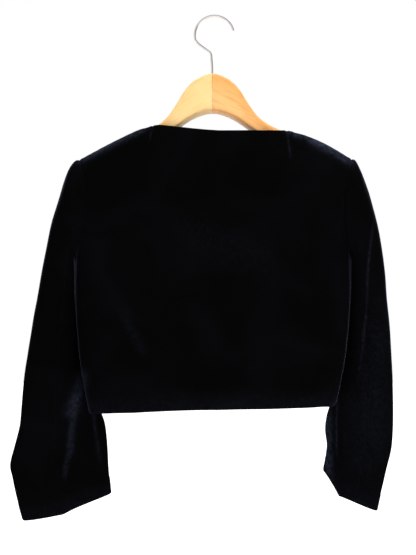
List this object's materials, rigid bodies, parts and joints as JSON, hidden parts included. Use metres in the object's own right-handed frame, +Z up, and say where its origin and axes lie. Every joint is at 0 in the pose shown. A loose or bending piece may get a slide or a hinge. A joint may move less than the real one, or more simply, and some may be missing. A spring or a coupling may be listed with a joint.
{
  "type": "collarless jacket on a hanger",
  "caption": "Cropped collarless velvet jacket with long two-piece sleeves and an open front, hanging on a contoured wooden hanger with a wire hook.",
  "frame": {"origin": "inside top of the hanger's hook, where it rests on a rail", "axes": "+Z up along the hook's shank, +Y from the jacket's back towards its front, +X to the wearer's right"},
  "size_m": [0.6101, 0.1674, 0.7934],
  "materials": {
    "velvet": "matt pile",
    "beech": "satin lacquer",
    "chrome": "polished"
  },
  "bodies": {
    "root": {"back": "velvet", "front_left": "velvet", "front_right": "velvet", "sleeve_left_upper": "velvet", "sleeve_left_under": "velvet", "sleeve_right_upper": "velvet", "sleeve_right_under": "velvet", "hanger_arm_left": "beech", "hanger_arm_right": "beech", "hanger_hook": "chrome"}
  },
  "joints": []
}
